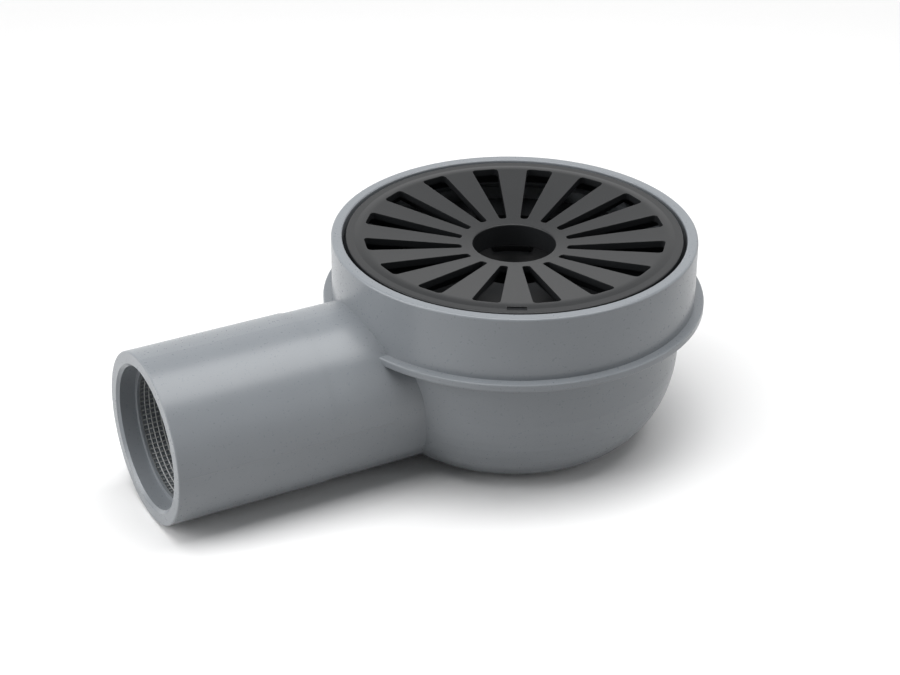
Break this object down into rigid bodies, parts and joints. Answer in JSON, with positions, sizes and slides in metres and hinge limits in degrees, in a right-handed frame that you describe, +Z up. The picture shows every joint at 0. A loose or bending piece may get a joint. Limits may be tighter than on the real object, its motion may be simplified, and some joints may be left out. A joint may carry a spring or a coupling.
{
  "type": "floor drain",
  "caption": "Floor drain with a round collar and flange, a dished slotted grate with a finger hole, a lift-out water trap and a horizontal side outlet.",
  "frame": {"origin": "centre of the flat base's underside, on the bowl's axis", "axes": "+Z up along the bowl's axis, the outlet pipe runs towards -X, Y across it"},
  "size_m": [0.26, 0.168, 0.093],
  "materials": {
    "body_plastic": "satin moulded grey",
    "grate_plastic": "fine matt black",
    "trap_plastic": "smooth black",
    "seal_rubber": "matt black",
    "screen_plastic": "dark grey mesh"
  },
  "bodies": {
    "root": {"body": "body_plastic", "grate": "grate_plastic", "bell": "trap_plastic", "trap_cup": "trap_plastic", "trap_seal": "seal_rubber", "outlet_screen": "screen_plastic"}
  },
  "joints": []
}
